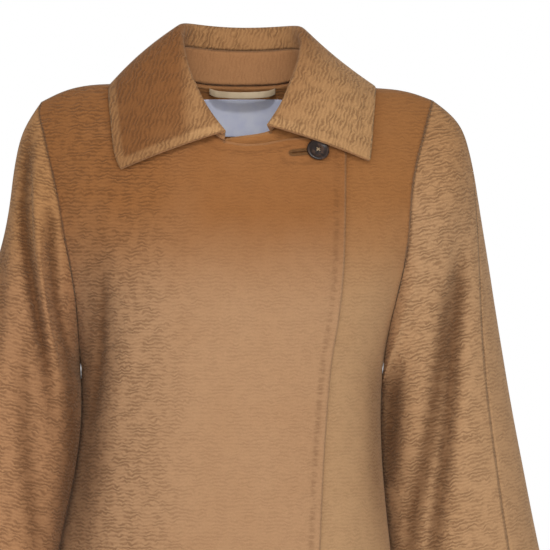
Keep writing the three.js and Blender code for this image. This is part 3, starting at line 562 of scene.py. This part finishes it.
@dataclass
class ClothPiece:
    """One cut piece of the coat, refined from its solid."""

    node: str
    slot: Slot
    ply: Ply
    flat: tuple[float, float]
    area: float
    held: str = "draped"
    creases: tuple[Crease, ...] = ()
    unevenness: float = 0.0006
    twins: tuple[str, ...] = ()

    def merged_copy(self) -> bmesh.types.BMesh:
        """Copies the solid's mesh, joins its loose triangles and marks its sharp edges.

        Returns:
            The copy.
        """
        bm = bmesh.new()
        bm.from_mesh(NODES[self.node].data)
        bmesh.ops.remove_doubles(bm, verts=bm.verts, dist=1e-6)
        bmesh.ops.join_triangles(
            bm, faces=bm.faces, cmp_seam=False, cmp_sharp=False, cmp_uvs=False,
            angle_face_threshold=math.radians(24), angle_shape_threshold=math.radians(60))
        crease = bm.edges.layers.float.new("crease_edge")
        for edge in bm.edges:
            if edge.calc_face_angle(0.0) > math.radians(50) and self.at_cut_edge(edge):
                edge[crease] = 1.0
        return bm

    @staticmethod
    def at_cut_edge(edge: bmesh.types.BMEdge) -> bool:
        """Whether an edge borders the thin side of the wall, where the cloth was cut."""
        thin = [min(side.calc_length() for side in face.edges) for face in edge.link_faces]
        return edge.calc_length() < WALL[1] or any(WALL[0] < side < WALL[1] for side in thin)

    def neighbours(self) -> KDTree:
        """Makes a tree of the corner points of the pieces this one may be sewn to."""
        others = [o for name, o in NODES.items()
                  if name not in (self.node, *self.twins) and name in SEWN]
        near = KDTree(sum(len(o.data.vertices) for o in others))
        for other in others:
            for v in other.data.vertices:
                near.insert(v.co, v.index)
        near.balance()
        return near

    def close_seams(self, bm: bmesh.types.BMesh, near: KDTree) -> None:
        """Draws the corner points at a seam to halfway to the next piece's.

        Args:
            bm: The merged copy.
            near: The neighbours' points.
        """
        for v in bm.verts:
            other, _, gap = near.find(v.co)
            if gap < SEAM_REACH:
                v.co = v.co.lerp(other, 0.5)

    def rims(self, bm: bmesh.types.BMesh, near: KDTree) -> tuple[KDTree, KDTree]:
        """Sorts the points on sharp edges into those at a seam and those at a free edge.

        Args:
            bm: The merged copy.
            near: The neighbours' points.

        Returns:
            Trees of the free points and of the seam points.
        """
        crease = bm.edges.layers.float["crease_edge"]
        free, seam = [], []
        for edge in bm.edges:
            if not edge[crease]:
                continue
            ends = [v.co for v in edge.verts]
            at_seam = all(near.find(co)[2] < 0.0012 for co in ends)
            steps = max(1, int(edge.calc_length() / 0.002))
            line = [ends[0].lerp(ends[1], i / steps) for i in range(steps + 1)]
            (seam if at_seam else free).extend(line)
        return self.tree_of(free), self.tree_of(seam)

    @staticmethod
    def tree_of(points: list[Vector]) -> KDTree:
        """Makes a balanced tree of points, with one far point if there are none."""
        listed = points or [Vector((9.0, 9.0, 9.0))]
        tree = KDTree(len(listed))
        for i, point in enumerate(listed):
            tree.insert(point, i)
        tree.balance()
        return tree

    def smoothed(self, bm: bmesh.types.BMesh) -> bpy.types.Object:
        """Subdivides the copy to a smooth wall whose edges stay where they are.

        Args:
            bm: The merged copy, which is freed.

        Returns:
            The piece, with its modifier applied.
        """
        mesh = bpy.data.meshes.new(f"{self.node}_cloth")
        bm.to_mesh(mesh)
        bm.free()
        piece = bpy.data.objects.new(f"{self.node}_cloth", mesh)
        bpy.context.scene.collection.objects.link(piece)
        levels = max(1, self.ply.value - (0))
        smooth = piece.modifiers.new("smooth", "SUBSURF")
        smooth.levels = smooth.render_levels = levels
        bpy.context.view_layer.update()
        graph = bpy.context.evaluated_depsgraph_get()
        done = bpy.data.meshes.new_from_object(piece.evaluated_get(graph))
        piece.modifiers.clear()
        piece.data = done
        bpy.data.meshes.remove(mesh)
        return piece

    def press(self, piece: bpy.types.Object) -> None:
        """Pushes the creases and a slight unevenness into the wall, both faces alike."""
        mesh = piece.data
        points = np.empty(len(mesh.vertices) * 3)
        mesh.vertices.foreach_get("co", points)
        points = points.reshape(-1, 3)
        shift = np.zeros(len(points))
        for crease in self.creases:
            shift += crease.sink(points)
        # The crease depth, kept as hollow, is later used for painted shade in the folds.
        layer = mesh.attributes.new("hollow", "FLOAT", "POINT")
        layer.data.foreach_set("value", np.clip(shift / DEEPEST, 0.0, 1.0))
        x, z = points[:, 0], points[:, 2]
        waves = (np.sin(x * 61 + 3 * np.sin(z * 17)) * np.sin(z * 47 + 2 * np.sin(x * 23))
                 + 0.6 * np.sin(x * 143 + z * 71) * np.sin(z * 120 - x * 57))
        shift += self.unevenness * waves
        seam = np.empty(len(mesh.vertices))
        free = np.empty(len(mesh.vertices))
        mesh.attributes["seam"].data.foreach_get("value", seam)
        mesh.attributes["free_edge"].data.foreach_get("value", free)
        held = np.clip(np.minimum(seam, free + 0.004) / 0.014, 0.0, 1.0)
        points[:, 1] += shift * held * held * (3 - 2 * held)
        mesh.vertices.foreach_set("co", points.ravel())
        mesh.update()

    def measure_rims(self, piece: bpy.types.Object, free: KDTree, seam: KDTree) -> None:
        """Stores each point's distance to the nearest free edge and seam."""
        mesh = piece.data
        for name, tree in (("free_edge", free), ("seam", seam)):
            values = [tree.find(v.co)[2] for v in mesh.vertices]
            layer = mesh.attributes.new(name, "FLOAT", "POINT")
            layer.data.foreach_set("value", values)

    def build(self, material: bpy.types.Material) -> bpy.types.Object:
        """Makes the piece and hangs it on the coat.

        Args:
            material: Its finish.

        Returns:
            The finished piece.
        """
        bm = self.merged_copy()
        near = self.neighbours()
        free, seam = self.rims(bm, near)
        self.close_seams(bm, near)
        piece = self.smoothed(bm)
        self.measure_rims(piece, free, seam)
        self.press(piece)
        piece.data.materials.clear()
        piece.data.materials.append(material)
        for face in piece.data.polygons:
            face.use_smooth = True
        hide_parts(self.node)
        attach(piece, "root")
        log.info("%s: %d faces", piece.name, len(piece.data.polygons))
        return piece


WALL = (0.0017, 0.0033)
SEAM_REACH = 0.001
DEEPEST = 0.0065
SEWN = ("right_front", "left_front", "back", "right_sleeve_front", "right_sleeve_back",
        "left_sleeve_front", "left_sleeve_back", "collar_stand", "upper_collar", "under_collar")


@dataclass
class Body:
    """Fronts and back."""

    front_finish: WoolFinish = WoolFinish(
        "Camel wool, fronts", shaded=dye(154, 101, 56), lit=dye(182, 141, 104))
    under_finish: WoolFinish = WoolFinish(
        "Camel wool, under front", shaded=dye(160, 107, 60), lit=dye(186, 147, 107),
        quiet_at=0.09, quiet_share=0.35)
    back_finish: WoolFinish = WoolFinish(
        "Camel wool, back", shaded=dye(158, 106, 60), lit=dye(180, 140, 102),
        quiet_at=0.0, quiet_share=0.6)

    right_creases: tuple[Crease, ...] = (
        Crease(((-0.215, -0.151, 0.0), (-0.25, -0.1505, 0.003), (-0.307, -0.1535, 0.005),
                (-0.346, -0.157, 0.004), (-0.40, -0.165, 0.0)), width=0.005, ruffle=0.0008),
        Crease(((-0.150, -0.158, 0.0), (-0.200, -0.158, 0.002), (-0.260, -0.160, 0.004),
                (-0.340, -0.164, 0.005), (-0.440, -0.168, 0.005), (-0.520, -0.178, 0.002),
                (-0.650, -0.190, 0.0)), width=0.017, ruffle=0.001),
    )
    left_creases: tuple[Crease, ...] = (
        Crease(((-0.300, 0.1500, 0.0), (-0.345, 0.1470, 0.003), (-0.440, 0.1470, 0.003),
                (-0.520, 0.1560, 0.0)), width=0.010),
    )

    def build(self) -> None:
        """Makes the three body pieces."""
        ClothPiece("right_front", Slot.COAT, Ply.FINEST, (0.42, 1.09), 0.38,
                   creases=self.right_creases).build(self.front_finish.build())
        ClothPiece("left_front", Slot.COAT, Ply.FINE, (0.38, 1.09), 0.352,
                   creases=self.left_creases).build(self.under_finish.build())
        ClothPiece("back", Slot.COAT, Ply.FINE, (0.64, 1.09), 0.539).build(
            self.back_finish.build())


@dataclass
class Sleeves:
    """Two-piece sleeves with their deep folds."""

    tilt: float = math.radians(14)
    right_folds: tuple[Crease, ...] = (
        Crease(((-0.056, -0.2330, 0.0), (-0.092, -0.2365, 0.006), (-0.139, -0.2400, 0.008),
                (-0.182, -0.2385, 0.008), (-0.241, -0.2295, 0.008), (-0.300, -0.2185, 0.007),
                (-0.340, -0.2120, 0.004), (-0.410, -0.2045, 0.0)), width=0.0065, ruffle=0.0012),
        Crease(((-0.145, -0.2115, 0.0), (-0.160, -0.2095, 0.004), (-0.194, -0.2095, 0.006),
                (-0.253, -0.2045, 0.006), (-0.305, -0.1940, 0.005), (-0.345, -0.1885, 0.0)),
               width=0.006, ruffle=0.0010),
        Crease(((-0.260, -0.2360, 0.0), (-0.340, -0.2380, 0.003), (-0.400, -0.2370, 0.004),
                (-0.480, -0.2290, 0.004), (-0.580, -0.2200, 0.001)), width=0.010, ruffle=0.001),
        Crease(((-0.300, -0.1900, 0.0), (-0.350, -0.1870, 0.006), (-0.420, -0.1860, 0.007),
                (-0.480, -0.1940, 0.006), (-0.580, -0.2040, 0.005)), width=0.011),
        Crease(((-0.150, -0.2600, 0.0), (-0.200, -0.2640, 0.004), (-0.262, -0.2640, 0.003),
                (-0.330, -0.2700, 0.0)), width=0.006),
    )
    left_folds: tuple[Crease, ...] = (
        Crease(((-0.201, 0.2395, 0.0), (-0.250, 0.2270, 0.004), (-0.304, 0.2200, 0.006),
                (-0.363, 0.2120, 0.006), (-0.420, 0.2035, 0.006), (-0.481, 0.1900, 0.006),
                (-0.560, 0.1830, 0.004)), width=0.0095, ruffle=0.0014),
        Crease(((-0.190, 0.2410, 0.0), (-0.243, 0.2398, 0.005), (-0.304, 0.2336, 0.006),
                (-0.359, 0.2300, 0.006), (-0.428, 0.2233, 0.006), (-0.487, 0.2156, 0.006),
                (-0.560, 0.2080, 0.004)), width=0.0075, ruffle=0.0014),
        Crease(((-0.310, 0.1740, 0.0), (-0.351, 0.1690, 0.007), (-0.407, 0.1660, 0.008),
                (-0.460, 0.1630, 0.003)), width=0.009),
    )

    def build(self) -> None:
        """Makes the four sleeve pieces."""
        right = WoolFinish(
            "Camel wool, right sleeve", shaded=dye(182, 133, 86), lit=dye(178, 131, 92),
            turn=-self.tilt, quiet_at=-0.36, quiet_width=0.1, quiet_share=0.6).build()
        left = WoolFinish(
            "Camel wool, left sleeve", shaded=dye(182, 136, 92), lit=dye(188, 147, 107),
            turn=self.tilt, quiet_at=0.33, quiet_width=0.1, quiet_share=0.6,
            start=0.05, reach=0.15).build()
        ClothPiece("right_sleeve_front", Slot.COAT, Ply.FINEST, (0.27, 0.58), 0.099,
                   creases=self.right_folds).build(right)
        ClothPiece("right_sleeve_back", Slot.COAT, Ply.FINE, (0.27, 0.58), 0.101).build(right)
        ClothPiece("left_sleeve_front", Slot.COAT, Ply.FINEST, (0.22, 0.58), 0.076,
                   creases=self.left_folds).build(left)
        ClothPiece("left_sleeve_back", Slot.COAT, Ply.FINE, (0.32, 0.58), 0.135).build(left)


@dataclass
class Collar:
    """Stand, upper collar and under collar."""

    upper: WoolFinish = WoolFinish(
        "Camel wool, collar", shaded=dye(136, 88, 48), lit=dye(186, 142, 96),
        turn=math.radians(72), quiet_share=1.0, lean=0.9, start=-0.045, reach=0.2,
        neck_light=0.6, band=0.0125, band_width=0.004, line=0.35, edge_light=0.4,
        edge_width=0.013)
    inner: WoolFinish = WoolFinish(
        "Camel wool, stand", shaded=dye(164, 116, 76), lit=dye(170, 124, 84),
        turn=math.radians(80), quiet_at=0.0, quiet_share=0.3, start=-0.05, reach=0.1,
        line=0.0)

    def build(self) -> None:
        """Makes the three collar pieces."""
        ClothPiece("collar_stand", Slot.COLLAR, Ply.FINE, (0.5, 0.035), 0.0109,
                   unevenness=0.0).build(self.inner.build())
        ClothPiece("upper_collar", Slot.COLLAR, Ply.FINEST, (0.62, 0.16), 0.0611,
                   unevenness=0.0, twins=("under_collar",)).build(self.upper.build())
        ClothPiece("under_collar", Slot.COLLAR, Ply.FINE, (0.6, 0.155), 0.0572,
                   unevenness=0.0, twins=("upper_collar",)).build(self.inner.build())


# ---- trims --------------------------------------------------------------------------


def finish_piece(piece: bpy.types.Object, material: bpy.types.Material, slot: Slot,
                 *nodes: str) -> None:
    """Gives a rigid piece its finish and hangs it on the coat.

    Args:
        piece: The piece.
        material: Its finish.
        slot: Its slot in the record; not used.
        *nodes: Solids that it stands for.
    """
    piece.data.materials.clear()
    piece.data.materials.append(material)
    for face in piece.data.polygons:
        face.use_smooth = True
    if nodes:
        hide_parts(*nodes)
    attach(piece, "root")
    log.info("%s: %d faces", piece.name, len(piece.data.polygons))


def object_from(bm: bmesh.types.BMesh, name: str) -> bpy.types.Object:
    """Makes an object of a bmesh, which is freed.

    Args:
        bm: The mesh.
        name: The object's name.

    Returns:
        The object.
    """
    mesh = bpy.data.meshes.new(name)
    bm.to_mesh(mesh)
    bm.free()
    piece = bpy.data.objects.new(name, mesh)
    bpy.context.scene.collection.objects.link(piece)
    return piece


@dataclass
class Fastening:
    """The neck button with its thread, and the buttonhole's worked edge."""

    centre: Vector = field(default_factory=lambda: Vector((0.082, -0.07359, -0.089)))
    out: Vector = field(default_factory=lambda: Vector((0.2166, -0.8728, 0.4374)).normalized())
    radius: float = 0.0125
    base: float = 0.0046
    thickness: float = 0.0044
    hole_spread: float = 0.0021
    thread: float = 0.00055
    slot_left: float = 0.052
    slot_length: float = 0.034
    slot_width: float = 0.0036
    slot_rise: float = 0.0040
    slot_slant: float = math.radians(9)
    stitches: int = 76

    def basis(self) -> Matrix:
        """The button's own frame: Z out of the chest, X along the buttonhole.

        Returns:
            The matrix from that frame to the coat's.
        """
        z = self.out
        x = Vector((1, 0, 0))
        x = (x - x.dot(z) * z).normalized()
        y = z.cross(x)
        turn = Matrix((x, y, z)).transposed().to_4x4()
        return Matrix.Translation(self.centre) @ turn

    def button(self) -> bpy.types.Object:
        """Spins the button's profile, with a rim, a dished middle and a thread shank.

        Returns:
            The button.
        """
        r, low = self.radius, self.base
        top = low + self.thickness
        profile = [
            (0.0, 0.0004), (0.0014, 0.0004), (0.0014, low), (r * 0.72, low),
            (r * 0.93, low + 0.0006), (r, low + 0.0019), (r * 0.99, top - 0.0009),
            (r * 0.94, top - 0.0001), (r * 0.86, top), (r * 0.77, top - 0.0003),
            (r * 0.66, top - 0.0011), (r * 0.4, top - 0.0014), (0.0, top - 0.0015),
        ]
        bm = bmesh.new()
        line = [bm.verts.new((x, 0.0, z)) for x, z in profile]
        for a, b in zip(line, line[1:]):
            bm.edges.new((a, b))
        bmesh.ops.spin(bm, geom=bm.verts[:] + bm.edges[:], cent=(0, 0, 0), axis=(0, 0, 1),
                       angle=2 * math.pi, steps=64, use_merge=True)
        bmesh.ops.remove_doubles(bm, verts=bm.verts, dist=1e-6)
        bmesh.ops.recalc_face_normals(bm, faces=bm.faces)
        bmesh.ops.transform(bm, matrix=self.basis(), verts=bm.verts)
        return object_from(bm, "neck_button")

    def holes(self) -> bpy.types.Object:
        """Four sewing holes, as small sunk discs painted near black for the shade inside them.

        Returns:
            The holes, in one piece.
        """
        bm = bmesh.new()
        top = self.base + self.thickness - 0.00135
        for x in (-1, 1):
            for y in (-1, 1):
                place = Matrix.Translation((x * self.hole_spread, y * self.hole_spread, top))
                bmesh.ops.create_cone(bm, cap_ends=True, segments=20, radius1=0.0011,
                                      radius2=0.0010, depth=0.0003,
                                      matrix=self.basis() @ place)
        return object_from(bm, "button_holes")

    def button_thread(self) -> bpy.types.Object:
        """Crossed threads over the middle of the button.

        Returns:
            The threads, in one piece.
        """
        bm = bmesh.new()
        top = self.base + self.thickness - 0.0009
        reach = self.hole_spread * 2.5
        for turn in (45, -45):
            for lane in (-0.9, 0.0, 0.9):
                place = (self.basis() @ Matrix.Translation((0, 0, top))
                         @ Matrix.Rotation(math.radians(turn), 4, "Z")
                         @ Matrix.Translation((0, lane * self.thread, 0.0002 * (turn < 0)))
                         @ Matrix.Rotation(math.radians(90), 4, "Y"))
                bmesh.ops.create_cone(bm, cap_ends=True, segments=10, radius1=self.thread * 0.5,
                                      radius2=self.thread * 0.5, depth=reach, matrix=place)
        return object_from(bm, "button_thread")

    def outline(self) -> list[tuple[Vector, Vector]]:
        """Points round the slot with the direction away from it, in the button's frame.

        Returns:
            Place and outward direction of each stitch.
        """
        r = self.slot_width / 2
        left = self.slot_left - self.centre.x + r
        right = left + self.slot_length - self.slot_width
        straight = right - left
        whole = 2 * straight + 2 * math.pi * r
        found = []
        for i in range(self.stitches):
            s = whole * i / self.stitches
            if s < straight:
                found.append((Vector((left + s, -r, 0)), Vector((0, -1, 0))))
            elif s < straight + math.pi * r:
                a = (s - straight) / r - math.pi / 2
                way = Vector((math.cos(a), math.sin(a), 0))
                found.append((Vector((right, 0, 0)) + way * r, way))
            elif s < 2 * straight + math.pi * r:
                found.append((Vector((right - (s - straight - math.pi * r), r, 0)),
                              Vector((0, 1, 0))))
            else:
                a = (s - 2 * straight - math.pi * r) / r + math.pi / 2
                way = Vector((math.cos(a), math.sin(a), 0))
                found.append((Vector((left, 0, 0)) + way * r, way))
        return found

    def worked_edge(self) -> bpy.types.Object:
        """Close stitches across the edge of the buttonhole.

        Returns:
            The stitches, in one piece.
        """
        bm = bmesh.new()
        slant = Matrix.Rotation(self.slot_slant, 3, "Z")
        for at, way in [(slant @ at, slant @ way) for at, way in self.outline()]:
            side = Vector((0, 0, 1)).cross(way)
            turn = Matrix((side, Vector((0, 0, 1)).cross(side), way)).transposed().to_4x4()
            lifted = at + way * 0.0007 + Vector((0, 0, self.slot_rise + self.curl(at.x)))
            bmesh.ops.create_uvsphere(
                bm, u_segments=8, v_segments=5, radius=1.0,
                matrix=self.basis() @ Matrix.Translation(lifted) @ turn
                @ Matrix.Diagonal((0.00055, 0.0007, 0.0016, 1)))
        return object_from(bm, "buttonhole_thread")

    @staticmethod
    def curl(x: float) -> float:
        """How much the chest falls away from the button's plane at a distance along it."""
        return -3.1 * x * x + 0.0004 * (x < -0.01)

    def build(self) -> None:
        """Makes the button and the worked buttonhole."""
        ochre = ThreadFinish("Ochre thread", dye(168, 118, 66)).build()
        beige = ThreadFinish("Beige thread", dye(176, 150, 118)).build()
        # Painted shade: a near black finish for the button's holes.
        dark = ThreadFinish("Shadowed hole", dye(20, 15, 14)).build()
        finish_piece(self.button(), HornFinish().build(), Slot.BUTTON, "button")
        finish_piece(self.holes(), dark, Slot.BUTTON)
        finish_piece(self.button_thread(), beige, Slot.BUTTON)
        finish_piece(self.worked_edge(), ochre, Slot.COAT)


class NeckTrim:
    """Hanger loop and blank label inside the back of the neck."""

    def label(self) -> bpy.types.Object:
        """The satin label.

        Returns:
            The label, which needs no more shaping than its solid.
        """
        piece = ClothPiece("neck_label", Slot.SATIN, Ply.FINE, (0.09, 0.046), 0.0041,
                           unevenness=0.0)
        finish = WovenFinish("Blank satin", dye(236, 240, 255), dye(206, 212, 244), 0.42,
                             rib=0.0005, depth=0.00006)
        return piece.build(finish.build())

    def loop(self) -> bpy.types.Object:
        """The tape loop.

        Returns:
            The loop.
        """
        piece = ClothPiece("hanger_loop", Slot.TAPE, Ply.FINE, (0.079, 0.01), 0.00063,
                           held="hung", unevenness=0.0)
        finish = WovenFinish("Beige tape", dye(196, 176, 146), dye(150, 128, 98), 0.75,
                             rib=0.0011)
        return piece.build(finish.build())

    def build(self) -> None:
        """Makes the label and the loop."""
        self.label()
        self.loop()


# ---- studio -------------------------------------------------------------------------


@dataclass
class Studio:
    """Pale floor, soft light and the camera."""

    aim: Vector = field(default_factory=lambda: Vector((0.0363, -0.045, -0.2233)))
    distance: float = 8.0
    width_seen: float = 0.605
    floor_z: float = -1.42
    neck_power: float = 110.0

    def stand_lamp(self, data: bpy.types.Light, place: tuple[float, float, float],
                   target: Vector) -> None:
        """Stands a lamp in its place and turns it to its target.

        Args:
            data: The lamp's light.
            place: Where it stands.
            target: The point it looks at.
        """
        lamp = bpy.data.objects.new(data.name, data)
        lamp.location = place
        lamp.rotation_euler = (target - Vector(place)).to_track_quat("-Z", "Y").to_euler()
        bpy.context.scene.collection.objects.link(lamp)

    def area_light(self, name: str, place: tuple[float, float, float], size: float,
                   power: float, tint: tuple[float, float, float]) -> None:
        """Adds a square soft light that looks at the coat.

        Args:
            name: Its name.
            place: Where it stands.
            size: Its side.
            power: Its power in watts.
            tint: Its colour.
        """
        data = bpy.data.lights.new(name, "AREA")
        data.size = size
        data.energy = power
        data.color = tint
        self.stand_lamp(data, place, self.aim)

    def neck_light(self) -> None:
        """Adds a narrow soft lamp that reaches down into the neck."""
        data = bpy.data.lights.new("neck", "SPOT")
        data.energy = self.neck_power
        data.spot_size = math.radians(6.5)
        data.spot_blend = 1.0
        data.shadow_soft_size = 0.12
        self.stand_lamp(data, (0.02, -2.5, 1.15), Vector((0.0, 0.05, -0.045)))

    def floor(self) -> None:
        """Adds the pale floor."""
        bm = bmesh.new()
        bmesh.ops.create_grid(bm, x_segments=1, y_segments=1, size=6,
                              matrix=Matrix.Translation((0, 0, self.floor_z)))
        plane = object_from(bm, "studio_floor")
        material = bpy.data.materials.new("Pale floor")
        material.use_nodes = True
        shader = material.node_tree.nodes["Principled BSDF"]
        shader.inputs["Base Color"].default_value = (0.9, 0.9, 0.9, 1.0)
        shader.inputs["Roughness"].default_value = 0.8
        plane.data.materials.append(material)

    def surroundings(self) -> None:
        """A white surround that lights the coat only a little."""
        world = bpy.data.worlds.new("White surround")
        world.use_nodes = True
        w = Weaver(world.node_tree)
        background = world.node_tree.nodes["Background"]
        background.inputs["Color"].default_value = (1.0, 1.0, 1.0, 1.0)
        seen = w.node("ShaderNodeLightPath").outputs["Is Camera Ray"]
        w.feed(background.inputs["Strength"], w.ramp(seen, 0.0, 1.0, 0.42, 1.0))
        bpy.context.scene.world = world

    def camera(self) -> None:
        """Adds the camera, level and straight in front."""
        data = bpy.data.cameras.new("front_camera")
        data.sensor_width = 36.0
        data.lens = 36.0 * self.distance / self.width_seen
        data.clip_end = 50.0
        camera = bpy.data.objects.new("front_camera", data)
        camera.location = self.aim - Vector((0, self.distance, 0))
        camera.rotation_euler = (math.radians(90), 0, 0)
        bpy.context.scene.collection.objects.link(camera)
        bpy.context.scene.camera = camera
        bpy.context.scene.view_settings.view_transform = "Standard"

    def build(self) -> None:
        """Sets up the studio."""
        self.floor()
        self.surroundings()
        self.area_light("key", (0.9, -3.4, -0.4), 1.8, 27, (1.0, 0.985, 0.96))
        self.area_light("front", (0.1, -4.2, 1.2), 2.2, 56, (1.0, 0.99, 0.98))
        self.area_light("fill", (-1.9, -2.8, -0.2), 2.2, 14, (0.97, 0.985, 1.0))
        self.neck_light()
        self.area_light("back", (0.3, 2.8, 0.6), 2.5, 30, (1.0, 1.0, 1.0))
        self.camera()


def main() -> None:
    """Builds the coat and the studio, in order."""
    Body().build()
    Sleeves().build()
    Collar().build()
    Fastening().build()
    NeckTrim().build()
    Studio().build()


if __name__ == "__main__":
    main()
